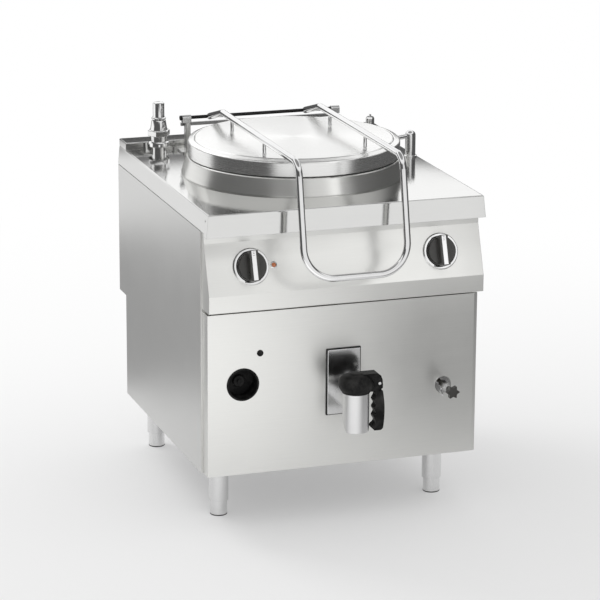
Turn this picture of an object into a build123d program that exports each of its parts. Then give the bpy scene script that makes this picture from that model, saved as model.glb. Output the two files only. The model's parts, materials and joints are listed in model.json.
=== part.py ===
from build123d import *
from math import atan2, cos, pi, radians, sin, sqrt, tan
import os

# Boiling pan with a jacketed round vessel on four round legs. Millimetres, +Z up, front towards -Y.
# The origin is on the floor, under the middle of the overall size.

# Cabinet
width = 800.0
depth = 900.0
worktop_height = 900.0
body_bottom = 161.0
top_sheet = 2.0
panel_sheet = 1.5
front_apron = 62.0
side_rim = 53.0
apron_lean = 6.0
front_lean = 3.0
apron_return = 18.0
top_edge_round = 4.0
corner_return = 28.0
side_inset = 1.0
side_front_setback = 61.0
side_top_gap = 2.0
rear_recess_depth = 73.0
rear_recess_top = 464.0
panel_flange = 16.0
ledge_height = 22.0
ledge_depth = 70.0
rim_hole_radius = 3.0
rim_hole_drop = 19.0
rim_hole_back = 23.0
hanger_inset = 30.0

# Front panels
panel_setback = 17.0
lower_panel_left_inset = 7.0
lower_panel_right_inset = 12.0
lower_panel_drop = 280.0
lower_bevel_width = 10.0
lower_bevel_depth = 3.0
control_inset = 5.0
control_overhang = 6.0
control_lip_drop = 271.0
control_lip_height = 48.0
control_face_height = 136.0
control_top_drop = 38.0
control_top_setback = 42.0
control_bend = 3.0

# Clearances
seat = 0.3
running = 0.05

# Vessel, collar and jacket
pan_x = -10.0
pan_y = -15.0
vessel_radius = 280.0
vessel_wall = 2.5
vessel_depth = 540.0
vessel_corner = 70.0
rim_rise = 66.0
rim_bead = 3.2
collar_base_radius = 318.0
collar_top_radius = 303.0
collar_height = 50.0
collar_sheet = 2.0
collar_edge_round = 5.0
jacket_radius = 318.0
jacket_wall = 2.5
jacket_gap = 126.0
jacket_top_drop = 26.0
jacket_corner = 60.0
insulation_thickness = 35.0
insulation_start = 100.0

# Lid
lid_radius = 300.0
lid_sheet = 1.5
lid_skirt_gap = 3.0
lid_edge_height = 93.0
lid_edge_round = 6.0
lid_crown_height = 101.0
lid_crown_fall = 1.8
bead_radius = 281.0
bead_half_width = 3.5
bead_depth = 2.4
gasket_width = 12.0
gasket_thickness = 3.7

# Lid hinge and handle
hinge_reach = 333.0
hinge_rise = 100.0
shaft_half = 241.0
shaft_radius = 5.0
torsion_bar_radius = 2.5
pillar_x = 225.0
pillar_width = 14.0
pillar_depth = 22.0
pillar_foot = (46.0, 58.0, 5.0)
bearing_radius = 8.0
bearing_length = 26.0
tie_size = 9.0
tie_drop = 17.5
tie_overhang = 8.0
handle_tube_radius = 9.5
handle_half_spacing = 147.0
handle_rise = 137.0
apex_y = 185.0
apex_bend = 20.0
front_bend_y = -493.0
front_bend = 42.0
handle_bottom_y = -556.0
handle_bottom_z = 731.0
handle_corner = 84.0
standoff_radius = 5.0
standoff_foot = 9.0
standoff_y = (100.0, -198.0)

# Control knobs and lamp
heat_inset = 130.0
water_inset = 125.0
knob_drop = 153.0
knob_radius = 38.0
knob_rise = 1.5
knob_disc = 21.0
knob_height = 38.0
grip_bar_width = 27.0
grip_bar_length = 86.0
grip_bar_taper = 3.0
insert_width = 12.5
insert_thickness = 1.6
insert_margin = 3.0
bezel_radius = 51.0
bezel_wall = 11.5
bezel_height = 6.0
spindle_radius = 5.0
spindle_hole = 8.0
switch_size = 46.0
switch_depth = 36.0
valve_radius = 20.0
valve_length = 42.0
valve_port = 34.0
valve_drop = 24.0
lamp_offset = 64.0
lamp_radius = 6.5
lamp_ring_radius = 9.5

# Drain tap
tap_x = -5.0
tap_drop = 62.0
tap_reach = 105.0
tap_plate_width = 100.0
tap_plate_below = 56.0
tap_plate_above = 134.0
tap_plate_thickness = 5.0
tap_plate_bevel = 1.2
tap_gasket_thickness = 3.0
tap_gasket_margin = 3.0
tap_barrel_radius = 36.5
tap_bore = 30.0
tap_plug_wall = 6.0
tap_neck_radius = 29.0
tap_outlet_drop = 71.0
tap_outlet_front = -16.5
tap_slant_rise = 47.0
tap_slant_run = 28.2
tap_barrel_rise = 37.0
tap_cap_radius = 48.0
tap_cap_height = 55.0
tap_cap_foot = 38.0
tap_cap_waist = 20.0
tap_cap_shoulder = 36.0
ear_width = 34.0
ear_slot = 17.0
ear_rise = 29.0
ear_end = 9.5
pin_offset = 62.5
pin_rise = 61.0
pin_radius = 4.0
tongue_radius = 8.5
grip_depth = 28.0
grip_rise = 38.0
grip_drop = 73.5
grip_inner = 51.0
grip_outer = 78.5
grip_foot = 41.0
grip_waves = 4
wave_height = 2.6
drain_pipe_radius = 27.0
drain_wall = 2.0
drain_bend = 58.0

# Level tap, recessed reset and blanking plug
level_x = 290.0
level_z = 363.0
level_hole = 24.0
level_pipe_radius = 7.0
level_reach = 79.0
level_hex_radius = 12.0
level_hex_back = 6.0
level_hex_front = 32.0
level_gland_radius = 9.0
level_gland_length = 12.0
star_radius = 20.0
star_waist = 12.5
star_points = 6
star_thickness = 13.0
stem_radius = 4.0
recess_inset = 107.0
recess_z = 418.0
recess_radius = 43.0
recess_rim = 46.0
recess_depth = 42.0
reset_radius = 17.0
plug_inset = 156.0
plug_z = 503.0
plug_radius = 9.0

# Worktop fittings
shank_radius = 8.5
safety_inset = 93.0
safety_back = 117.0
vacuum_inset = 50.0
vacuum_back = 105.0
column_inset = 29.0
column_y = 62.0
column_radius = 15.0
column_height = 77.0
spout_radius = 7.0
spout_reach = 41.0
spout_drop = 4.0

# Legs
leg_inset = 82.0
leg_front_setback = 165.0
leg_rear_setback = 104.0
sleeve_radius = 27.5
sleeve_wall = 1.5
sleeve_bottom = 43.0
sleeve_flange = 56.0
foot_radius = 23.7
foot_height = 60.0
foot_stem_radius = 9.0
foot_stem_top = 130.0

# Base frame and inner parts
frame_tube = 40.0
frame_wall = 2.0
gusset_length = 115.0
gusset_thickness = 4.0
support_spread = 300.0
support_radius = 15.0
element_rod = 4.25
element_pitch = 95.0
element_head = 24.0
element_drop = 50.0
terminal_depth = 66.0
terminal_margin = 35.0
terminal_rise = 45.0
inlet_inset = 34.0
inlet_z = 400.0
inlet_radius = 10.5
inlet_length = 25.0
inlet_collar = 6.0
inlet_bore = 6.0
pipe_radius = 8.0
pipe_bend = 25.0
supply_drop = 260.0
supply_back = 40.0
gland_inset = 150.0
gland_z = 300.0
cable_radius = 7.0

# Positions worked out from the sizes above. Depths are measured from the middle of the cabinet,
# and mid_y moves them so that the whole depth, tap included, is shared evenly about the origin.
panel_y = -depth / 2 + panel_setback
overall_front = panel_y - tap_reach - tap_cap_radius
mid_y = -(overall_front + depth / 2) / 2
front_y = mid_y - depth / 2
back_y = mid_y + depth / 2
panel_front_y = mid_y + panel_y
side_front_y = front_y + side_front_setback
control_front_y = front_y - control_overhang
control_top_y = front_y + control_top_setback
rear_y = back_y - top_sheet - seat
recess_back_y = back_y - rear_recess_depth
side_outer_x = width / 2 - side_inset
side_inner_x = side_outer_x - panel_sheet
side_top = worktop_height - side_rim - side_top_gap
hanger_half = width / 2 - hanger_inset
lower_panel_left = -width / 2 + lower_panel_left_inset
lower_panel_right = width / 2 - lower_panel_right_inset
lower_panel_top = worktop_height - lower_panel_drop
control_half = width / 2 - control_inset
control_lip_bottom = worktop_height - control_lip_drop
control_lip_top = control_lip_bottom + control_lip_height
control_face_top = control_lip_top + control_face_height
control_top = worktop_height - control_top_drop
heat_x = -width / 2 + heat_inset
water_x = width / 2 - water_inset
lamp_x = heat_x + lamp_offset
knob_z = worktop_height - knob_drop
recess_x = -width / 2 + recess_inset
plug_x = -width / 2 + plug_inset
safety_x = -width / 2 + safety_inset
safety_y = back_y - safety_back
vacuum_x = width / 2 - vacuum_inset
vacuum_y = back_y - vacuum_back
column_x = width / 2 - column_inset
leg_x = width / 2 - leg_inset
inlet_x = width / 2 - inlet_inset
gland_x = -width / 2 + gland_inset
under_top = worktop_height - top_sheet
pan_cy = mid_y + pan_y
hinge_cy = pan_cy + hinge_reach
hinge_z = worktop_height + hinge_rise
rim_z = worktop_height + rim_rise
vessel_bottom = rim_z - vessel_depth
vessel_outer = vessel_radius + vessel_wall
tap_z = vessel_bottom - tap_drop
tap_plate_bottom = tap_z - tap_plate_below
tap_plate_top = tap_z + tap_plate_above
tap_outlet_z = tap_z - tap_outlet_drop
tap_barrel_top = tap_z + tap_barrel_rise
pin_z = tap_z + pin_rise
grip_top = tap_z + grip_rise
grip_bottom = tap_z - grip_drop
jacket_bottom = vessel_bottom - jacket_gap
jacket_top = worktop_height - jacket_top_drop
sump_y = pan_cy - vessel_radius + vessel_corner + drain_pipe_radius + 15
tap_cy = mid_y + panel_y - tap_reach
tap_face_y = panel_front_y - tap_gasket_thickness - tap_plate_thickness
pin_x = tap_x + pin_offset
frame_bottom = body_bottom + panel_sheet + seat
frame_top = frame_bottom + frame_tube
frame_half = side_inner_x - seat
frame_front = side_front_y + panel_sheet + seat
frame_back = recess_back_y - panel_sheet - seat
element_z = jacket_bottom + element_drop
handle_z = worktop_height + handle_rise
pan_axis = Axis((pan_x, pan_cy, 0), (0, 0, 1))
legs = {
    "front_left": (-leg_x, front_y + leg_front_setback),
    "front_right": (leg_x, front_y + leg_front_setback),
    "rear_left": (-leg_x, back_y - leg_rear_setback),
    "rear_right": (leg_x, back_y - leg_rear_setback),
}

os.makedirs("parts", exist_ok=True)


def keep(piece, node):
    """Label a finished piece and write it to its own file."""
    piece.label = node
    export_step(piece, f"parts/{node}.step")


def panel_plane(x, rise=0.0):
    """Plane on the slanted control face, at knob height and the given x, lifted by rise."""
    lean = atan2(control_top_y - control_front_y, control_face_top - control_lip_top)
    normal = Vector(0, -cos(lean), sin(lean))
    y = control_front_y + (knob_z - control_lip_top) * tan(lean)
    return Plane(origin=Vector(x, y, knob_z) + normal * rise, x_dir=(1, 0, 0), z_dir=normal)


def front_plane(x, z, rise=0.0):
    """Plane on the lower front panel, facing out of the front, lifted by rise."""
    return Plane(origin=(x, panel_front_y - rise, z), x_dir=(1, 0, 0), z_dir=(0, -1, 0))


def top_plane(x, y, rise=0.0):
    """Plane on the worktop at x and y, lifted by rise."""
    return Plane(origin=(x, y, worktop_height + rise))


def turned(outline, at):
    """Solid turned about the normal of a plane, from (radius, height) points."""
    with BuildPart() as solid:
        with BuildSketch(Plane(origin=at.origin, x_dir=at.x_dir, z_dir=-at.y_dir)):
            with BuildLine():
                Polyline(*outline, close=True)
            make_face()
        revolve(axis=Axis(at.origin, at.z_dir))
    return solid.part


def ring(outer, inner, low, high, at):
    """Round ring or sleeve between two heights above a plane; an inner radius of zero gives a disc."""
    return turned([(inner, low), (outer, low), (outer, high), (inner, high)], at)


def bent_line(points, radii):
    """Line through the points with every inner corner rounded to its own radius."""
    corners = [Vector(*point) for point in points]
    start = corners[0]
    with BuildLine() as line:
        for before, corner, after, radius in zip(corners, corners[1:], corners[2:], radii):
            back = (before - corner).normalized()
            ahead = (after - corner).normalized()
            half = radians(back.get_angle(ahead)) / 2
            reach = radius / tan(half)
            middle = corner + (back + ahead).normalized() * (radius / sin(half) - radius)
            Line(start, corner + back * reach)
            ThreePointArc(corner + back * reach, middle, corner + ahead * reach)
            start = corner + ahead * reach
        Line(start, corners[-1])
    return line.line


def piped(path, outer, inner=0.0):
    """Round tube swept along a path, or a solid rod when no inner radius is given."""
    with BuildPart() as tube:
        with BuildSketch(Plane(origin=path @ 0, z_dir=path % 0)):
            Circle(outer)
            if inner:
                Circle(inner, mode=Mode.SUBTRACT)
        sweep(path=path)
    return tube.part


def knob(at):
    """Round knob with a full-width grip bar and its spindle, standing on the given plane."""
    with BuildPart() as body:
        add(ring(knob_radius, 0, knob_rise, knob_disc, at))
        with BuildSketch(at.offset(knob_disc)):
            Circle(grip_bar_length / 2)
            Rectangle(grip_bar_width, grip_bar_length, mode=Mode.INTERSECT)
        extrude(amount=knob_height - knob_disc, taper=grip_bar_taper)
        chamfer(body.edges().group_by(Axis(at.origin, at.z_dir))[-1], 0.8)
        add(ring(spindle_radius, 0, -spindle_hole * 2, knob_rise, at))
        with BuildSketch(at.offset(knob_height)):
            Rectangle(insert_width, grip_bar_length - 2 * insert_margin)
        extrude(amount=-insert_thickness / 2, mode=Mode.SUBTRACT)
    return body.part


def knob_insert(at):
    """Bright strip let into the top of a knob's grip bar."""
    with BuildPart() as strip:
        with BuildSketch(at.offset(knob_height - insert_thickness / 2)):
            Rectangle(insert_width - 2 * running, grip_bar_length - 2 * insert_margin - 2 * running)
        extrude(amount=insert_thickness)
    return strip.part


def side_panel(side):
    """Outer side sheet with its inward flanges; side is -1 for the left and 1 for the right."""
    outer = side * side_outer_x
    start = Plane.YZ.offset(outer)
    inward = -side
    with BuildPart() as panel:
        with BuildSketch(start):
            with BuildLine():
                Polyline((side_front_y, body_bottom), (recess_back_y, body_bottom),
                         (recess_back_y, rear_recess_top), (rear_y, rear_recess_top),
                         (rear_y, side_top), (side_front_y, side_top), close=True)
            make_face()
        extrude(amount=inward * panel_sheet)
        with BuildSketch(start):
            with Locations(((side_front_y + recess_back_y) / 2, body_bottom)):
                Rectangle(recess_back_y - side_front_y - 2 * panel_sheet, panel_sheet,
                          align=(Align.CENTER, Align.MIN))
            with Locations((side_front_y, body_bottom)):
                Rectangle(panel_sheet, side_top - body_bottom, align=(Align.MIN, Align.MIN))
            with Locations(((side_front_y + rear_y) / 2, side_top)):
                Rectangle(rear_y - side_front_y - 4 * panel_sheet, panel_sheet,
                          align=(Align.CENTER, Align.MAX))
        extrude(amount=inward * panel_flange)
    return panel.part


def apron_block(inset):
    """Tapered block as wide as the worktop, or smaller by inset on its top and sides."""
    with BuildPart() as block:
        with BuildSketch(Plane.XY.offset(worktop_height - inset)):
            with Locations((0, mid_y + front_lean / 2)):
                Rectangle(width - 2 * apron_lean - 2 * inset, depth - front_lean - 2 * inset)
        with BuildSketch(Plane.XY.offset(worktop_height - front_apron)):
            with Locations((0, mid_y)):
                Rectangle(width - 2 * inset, depth - 2 * inset)
        loft()
        fillet(block.edges().group_by(Axis.Z)[-1], top_edge_round - inset)
    return block.part


# Worktop: one pressed sheet with leaning aprons, deeper at the front, and a hole for the vessel
with BuildPart() as worktop:
    add(apron_block(0.0))
    add(apron_block(top_sheet), mode=Mode.SUBTRACT)
    with BuildSketch(Plane.YZ.offset(-width / 2 - 1)):
        with Locations((front_y + corner_return, worktop_height - front_apron - 1)):
            Rectangle(depth, front_apron - side_rim + 1, align=(Align.MIN, Align.MIN))
    extrude(amount=width + 2, mode=Mode.SUBTRACT)
    with BuildSketch(Plane.XY.offset(worktop_height - front_apron)):
        with Locations((0, front_y + top_sheet / 2)):
            Rectangle(width - 2 * top_sheet, apron_return, align=(Align.CENTER, Align.MIN))
    extrude(amount=top_sheet)
    with BuildSketch(Plane.XY.offset(worktop_height + 1)):
        with Locations((pan_x, pan_cy)):
            Circle(jacket_radius - 4 * collar_sheet)
        with Locations((safety_x, safety_y), (vacuum_x, vacuum_y),
                       (column_x, mid_y + column_y)):
            Circle(shank_radius + seat)
    extrude(amount=-2 * top_sheet, mode=Mode.SUBTRACT)
    with BuildSketch(Plane.YZ.offset(-width / 2 - 1)):
        with Locations((front_y + rim_hole_back, worktop_height - rim_hole_drop)):
            Circle(rim_hole_radius)
    extrude(amount=6 * top_sheet, mode=Mode.SUBTRACT)
keep(worktop.part, "worktop")

# Rear ledge: a low folded upstand along the back of the worktop
with BuildPart() as rear_ledge:
    with BuildSketch(Plane.XY.offset(worktop_height)):
        with Locations((0, back_y)):
            Rectangle(width - 2 * apron_lean, ledge_depth, align=(Align.CENTER, Align.MAX))
    extrude(amount=ledge_height)
    fillet(rear_ledge.edges().group_by(Axis.Z)[-1], 2 * panel_sheet)
    offset(amount=-panel_sheet, openings=rear_ledge.faces().sort_by(Axis.Z)[0])
keep(rear_ledge.part, "rear_ledge")

# Collar: a tapered spun ring that carries the vessel rim
pan_top = top_plane(pan_x, pan_cy)
with BuildPart() as pan_collar:
    add(turned([(collar_base_radius - collar_sheet, 0), (collar_base_radius, 0),
                (collar_base_radius, 3), (collar_top_radius, collar_height),
                (vessel_outer + seat, collar_height), (vessel_outer + seat, collar_height - collar_sheet),
                (collar_top_radius - collar_sheet, collar_height - collar_sheet),
                (collar_base_radius - collar_sheet, 3)], pan_top))
    fillet(pan_collar.edges().group_by(Axis.Z)[-1].sort_by(SortBy.RADIUS)[-1], collar_edge_round)
keep(pan_collar.part, "pan_collar")

# Inner vessel: deep drawn, with a drain hole at the front of its floor and a beaded rim
with BuildPart() as vessel:
    with BuildSketch(Plane.XY.offset(vessel_bottom)):
        with Locations((pan_x, pan_cy)):
            Circle(vessel_outer)
    extrude(amount=vessel_depth - rim_bead)
    fillet(vessel.edges().group_by(Axis.Z)[0], vessel_corner)
    offset(amount=-vessel_wall, openings=vessel.faces().sort_by(Axis.Z)[-1])
    with BuildSketch(Plane.XZ.offset(-pan_cy)):
        with Locations((pan_x + vessel_radius + vessel_wall / 2, rim_z - rim_bead)):
            Circle(rim_bead)
    revolve(axis=pan_axis)
    with BuildSketch(Plane.XY.offset(vessel_bottom - 1)):
        with Locations((tap_x, sump_y)):
            Circle(drain_pipe_radius - drain_wall)
    extrude(amount=vessel_wall + 2, mode=Mode.SUBTRACT)
keep(vessel.part, "vessel")

# Jacket: the outer shell that holds water and steam round the vessel
with BuildPart() as jacket_shell:
    with BuildSketch(Plane.XY.offset(jacket_bottom)):
        with Locations((pan_x, pan_cy)):
            Circle(jacket_radius)
    extrude(amount=jacket_top - jacket_bottom)
    fillet(jacket_shell.edges().group_by(Axis.Z)[0], jacket_corner)
    offset(amount=-jacket_wall, openings=jacket_shell.faces().sort_by(Axis.Z)[-1])
    with BuildSketch(Plane.XY.offset(jacket_top - jacket_wall)):
        with Locations((pan_x, pan_cy)):
            Circle(jacket_radius)
            Circle(vessel_outer + seat, mode=Mode.SUBTRACT)
    extrude(amount=jacket_wall)
    with BuildSketch(Plane.XZ.offset(-pan_cy)):
        with Locations((tap_x, tap_z)):
            Circle(drain_pipe_radius + seat)
        with Locations((level_x, level_z)):
            Circle(level_pipe_radius + seat)
    extrude(amount=jacket_radius + 1, mode=Mode.SUBTRACT)
    with BuildSketch(Plane.XZ.offset(-pan_cy)):
        with Locations([(pan_x + side * element_pitch, element_z) for side in (-1, 0, 1)]):
            Circle(element_head + seat)
    extrude(amount=-jacket_radius - 1, mode=Mode.SUBTRACT)
keep(jacket_shell.part, "jacket_shell")

# Insulation blanket round the jacket wall
with BuildPart() as insulation:
    with BuildSketch(Plane.XY.offset(jacket_bottom + insulation_start)):
        with Locations((pan_x, pan_cy)):
            Circle(jacket_radius + seat + insulation_thickness)
            Circle(jacket_radius + seat, mode=Mode.SUBTRACT)
        with Locations((0, pan_cy)):
            Rectangle(2 * frame_half, depth, mode=Mode.INTERSECT)
    extrude(amount=jacket_top - jacket_bottom - insulation_start)
keep(insulation.part, "insulation")

# Posts that carry the jacket on the base frame
with BuildPart() as jacket_supports:
    with BuildSketch(Plane.XY.offset(frame_top)):
        with Locations((pan_x, pan_cy)):
            with GridLocations(support_spread, support_spread, 2, 2):
                Circle(support_radius)
                Circle(support_radius - 3, mode=Mode.SUBTRACT)
    extrude(amount=jacket_bottom - frame_top)
keep(jacket_supports.part, "jacket_supports")

# Heating elements: three hairpins through heads in the rear of the jacket
with BuildPart() as heating_elements:
    for side in (-1, 0, 1):
        x = pan_x + side * element_pitch
        head_y = pan_cy + sqrt(jacket_radius ** 2 - (x - pan_x) ** 2)
        head = Plane(origin=(x, head_y, element_z), x_dir=(1, 0, 0), z_dir=(0, 1, 0))
        add(ring(element_head, 0, -25, 12, head))
        half = 14.0
        end_y = pan_cy - 45
        loop = bent_line([(x - half, head_y - 20, element_z), (x - half, end_y, element_z),
                          (x + half, end_y, element_z), (x + half, head_y - 20, element_z)],
                         (half - 1, half - 1))
        add(piped(loop, element_rod))
keep(heating_elements.part, "heating_elements")

# Drain pipe: bend under the vessel outlet, then forward to the tap
drain_path = bent_line([(tap_x, sump_y, vessel_bottom - seat), (tap_x, sump_y, tap_z),
                        (tap_x, panel_front_y - tap_gasket_thickness, tap_z)], (drain_bend,))
keep(piped(drain_path, drain_pipe_radius, drain_pipe_radius - drain_wall), "drain_pipe")

# Base frame: square tubes, cross bars under the jacket and corner plates over the legs
with BuildPart() as base_frame:
    frame_mid = (frame_front + frame_back) / 2
    for shrink, mode in ((0.0, Mode.ADD), (frame_wall, Mode.SUBTRACT)):
        with BuildSketch(Plane.XY.offset(frame_bottom + shrink)):
            with Locations((0, frame_mid)):
                Rectangle(2 * frame_half - 2 * shrink, frame_back - frame_front - 2 * shrink)
            inner_half = frame_half - frame_tube + shrink
            spans = (frame_front + frame_tube - shrink, pan_cy - support_spread / 2 - frame_tube / 2 + shrink,
                     pan_cy - support_spread / 2 + frame_tube / 2 - shrink,
                     pan_cy + support_spread / 2 - frame_tube / 2 + shrink,
                     pan_cy + support_spread / 2 + frame_tube / 2 - shrink, frame_back - frame_tube + shrink)
            for low, high in zip(spans[::2], spans[1::2]):
                with Locations((0, (low + high) / 2)):
                    Rectangle(2 * inner_half, high - low, mode=Mode.SUBTRACT)
        extrude(amount=frame_tube - 2 * shrink, mode=mode)
    with BuildSketch(Plane.XY.offset(frame_bottom)):
        for x, y in legs.values():
            with Locations((x, y)):
                Rectangle(gusset_length, gusset_length)
        with Locations((0, frame_mid)):
            Rectangle(2 * frame_half, frame_back - frame_front, mode=Mode.INTERSECT)
            Rectangle(2 * (frame_half - frame_tube), frame_back - frame_front - 2 * frame_tube,
                      mode=Mode.INTERSECT)
    extrude(amount=gusset_thickness)
keep(base_frame.part, "base_frame")

# Side panels
keep(side_panel(-1), "side_panel_left")
keep(side_panel(1), "side_panel_right")

# Rear panel: upper sheet, shelf and lower sheet set forward, with a hanger up to the worktop
with BuildPart() as rear_panel:
    with BuildSketch(Plane.YZ.offset(-frame_half)):
        with Locations((rear_y, rear_recess_top)):
            Rectangle(panel_sheet, side_top - rear_recess_top, align=(Align.MAX, Align.MIN))
            Rectangle(rear_y - recess_back_y + panel_sheet, panel_sheet, align=(Align.MAX, Align.MIN))
        with Locations((recess_back_y, body_bottom)):
            Rectangle(panel_sheet, rear_recess_top - body_bottom + panel_sheet,
                      align=(Align.MAX, Align.MIN))
    extrude(amount=2 * frame_half)
    with BuildSketch(Plane.YZ.offset(-hanger_half)):
        with BuildLine():
            fold = 2 * panel_sheet
            Polyline((rear_y, side_top), (rear_y, under_top - fold), (rear_y - fold, under_top),
                     (rear_y - panel_flange, under_top), (rear_y - panel_flange, under_top - panel_sheet),
                     (rear_y - fold - 0.6, under_top - panel_sheet),
                     (rear_y - panel_sheet, under_top - fold - 0.6), (rear_y - panel_sheet, side_top),
                     close=True)
        make_face()
    extrude(amount=2 * hanger_half)
    with BuildSketch(Plane.XZ.offset(-recess_back_y + 10)):
        with Locations((gland_x, gland_z)):
            Circle(12 + seat)
        with Locations((inlet_x, inlet_z)):
            Circle(inlet_radius + seat)
    extrude(amount=-20, mode=Mode.SUBTRACT)
keep(rear_panel.part, "rear_panel")

# Lower front panel: a shallow tray with openings for the tap, the recess, the plug and the level tap
with BuildPart() as lower_front_panel:
    with BuildSketch(Plane.XY.offset(body_bottom)):
        with BuildLine():
            Polyline((lower_panel_left, side_front_y - seat), (lower_panel_left, panel_front_y),
                     (lower_panel_right - lower_bevel_width, panel_front_y),
                     (lower_panel_right, panel_front_y + lower_bevel_depth),
                     (lower_panel_right, side_front_y - seat), close=True)
        make_face()
    extrude(amount=lower_panel_top - body_bottom)
    offset(amount=-panel_sheet, openings=lower_front_panel.faces().sort_by(Axis.Y)[-1])
    with BuildSketch(Plane.XZ.offset(-panel_front_y - 5)):
        with Locations((tap_x, tap_z)):
            Circle(drain_pipe_radius + seat)
        with Locations((recess_x, recess_z)):
            Circle(recess_radius + seat)
        with Locations((plug_x, plug_z)):
            Circle(plug_radius - 2)
        with Locations((level_x, level_z)):
            Circle(level_hole)
    extrude(amount=10, mode=Mode.SUBTRACT)
keep(lower_front_panel.part, "lower_front_panel")

# Control panel: a folded box with a short lip, a slanted face and a hanger up to the worktop
with BuildPart() as control_panel:
    control_back = side_front_y - seat
    with BuildSketch(Plane.YZ.offset(-control_half)):
        with BuildLine():
            Polyline((control_back, control_lip_bottom), (control_front_y, control_lip_bottom),
                     (control_front_y, control_lip_top), (control_top_y, control_face_top),
                     (control_top_y, control_top), (control_back, control_top), close=True)
        make_face()
    extrude(amount=2 * control_half)
    folds = control_panel.edges().filter_by(Axis.X).group_by(Axis.Y)
    fillet(folds[0] + folds[1], control_bend)
    offset(amount=-panel_sheet, openings=control_panel.faces().sort_by(Axis.Y)[-1])
    with BuildSketch(Plane.YZ.offset(-hanger_half)):
        with Locations((control_top_y, control_top)):
            Rectangle(panel_sheet, under_top - control_top, align=(Align.MIN, Align.MIN))
        with Locations((control_top_y, under_top)):
            Rectangle(panel_flange, panel_sheet, align=(Align.MIN, Align.MAX))
    extrude(amount=2 * hanger_half)
    for x, radius in ((heat_x, spindle_hole), (water_x, spindle_hole), (lamp_x, lamp_radius)):
        with BuildSketch(panel_plane(x, 5)):
            Circle(radius + seat)
        extrude(amount=-10, mode=Mode.SUBTRACT)
keep(control_panel.part, "control_panel")

# Bezels round the two knobs
with BuildPart() as knob_bezels:
    for x in (heat_x, water_x):
        add(turned([(bezel_radius - bezel_wall, 0), (bezel_radius, 0), (bezel_radius, bezel_height / 4),
                    (bezel_radius - bezel_wall / 4, bezel_height),
                    (bezel_radius - bezel_wall * 0.7, bezel_height),
                    (bezel_radius - bezel_wall, bezel_height / 2)], panel_plane(x)))
keep(knob_bezels.part, "knob_bezels")

# Heat switch and water valve behind the slanted face
with BuildPart() as heat_switch:
    at = panel_plane(heat_x)
    with BuildSketch(at.offset(-panel_sheet - seat)):
        Rectangle(switch_size, switch_size)
    extrude(amount=-switch_depth)
    add(ring(spindle_hole, 0, -panel_sheet - seat, 0, at))
    add(ring(spindle_radius + running, 0, -24, 0, at), mode=Mode.SUBTRACT)
keep(heat_switch.part, "heat_switch")

with BuildPart() as water_valve:
    at = panel_plane(water_x)
    add(ring(valve_radius, 0, -valve_length, -panel_sheet - seat, at))
    add(ring(spindle_hole, 0, -panel_sheet - seat, 0, at))
    add(ring(spindle_radius + running, 0, -24, 0, at), mode=Mode.SUBTRACT)
keep(water_valve.part, "water_valve")

# Pilot lamp
lamp_plane = panel_plane(lamp_x)
keep(turned([(0, -14), (lamp_radius, -14), (lamp_radius, 2), (lamp_radius - 2, 4.5), (0, 5.5)],
            lamp_plane), "lamp_lens")
keep(turned([(lamp_radius + running, 0), (lamp_ring_radius, 0), (lamp_ring_radius, 1),
             (lamp_radius + 0.8, 3), (lamp_radius + running, 3)], lamp_plane), "lamp_ring")

# Knobs, each in two pieces
for name, x in (("heat_knob", heat_x), ("water_knob", water_x)):
    keep(knob(panel_plane(x)), name)
    keep(knob_insert(panel_plane(x)), f"{name}_insert")

# Leg sleeves: fixed tubes with a flange under the frame, a guide ring and a nut inside
with BuildPart() as leg_sleeves:
    for x, y in legs.values():
        floor = Plane(origin=(x, y, 0))
        top = frame_bottom - seat
        add(ring(sleeve_radius, sleeve_radius - sleeve_wall, sleeve_bottom, top, floor))
        add(ring(sleeve_radius, foot_radius + 2 * running, sleeve_bottom, sleeve_bottom + 8, floor))
        add(ring(sleeve_radius, foot_stem_radius + 2 * running, 100, 112, floor))
        with BuildSketch(Plane.XY.offset(top)):
            with Locations((x, y)):
                Rectangle(sleeve_flange, sleeve_flange)
                Circle(foot_stem_radius + 1, mode=Mode.SUBTRACT)
        extrude(amount=-3)
keep(leg_sleeves.part, "leg_sleeves")

# Adjustable feet: round foot and threaded stem
for name, (x, y) in legs.items():
    foot = turned([(0, 0), (foot_radius - 3, 0), (foot_radius, 3), (foot_radius, foot_height),
                   (foot_stem_radius, foot_height), (foot_stem_radius, foot_stem_top),
                   (0, foot_stem_top)], Plane(origin=(x, y, 0)))
    keep(foot, f"foot_{name}")

# Hinge pillars with base flanges, bearings on top, and the tie bar behind them
for side, name in ((-1, "left"), (1, "right")):
    with BuildPart() as pillar:
        with BuildSketch(Plane.XY.offset(worktop_height)):
            with Locations((side * pillar_x, hinge_cy)):
                Rectangle(pillar_width, pillar_depth)
        extrude(amount=hinge_rise - pillar_width)
        fillet(pillar.edges().filter_by(Axis.Z), 1.5)
        with BuildSketch(Plane.XY.offset(worktop_height)):
            with Locations((side * pillar_x, hinge_cy)):
                RectangleRounded(pillar_foot[0], pillar_foot[1], 6)
        extrude(amount=pillar_foot[2])
    keep(pillar.part, f"hinge_pillar_{name}")
    with BuildPart() as bearing:
        with BuildSketch(Plane.YZ.offset(side * shaft_half - (side + 1) / 2 * bearing_length)):
            with Locations((hinge_cy, hinge_z)):
                Circle(bearing_radius)
            with Locations((hinge_cy, hinge_z - pillar_width)):
                Rectangle(2 * bearing_radius, pillar_width, align=(Align.CENTER, Align.MIN))
            with Locations((hinge_cy, hinge_z)):
                Circle(shaft_radius + running, mode=Mode.SUBTRACT)
        extrude(amount=bearing_length)
    keep(bearing.part, f"hinge_bearing_{name}")

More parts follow.
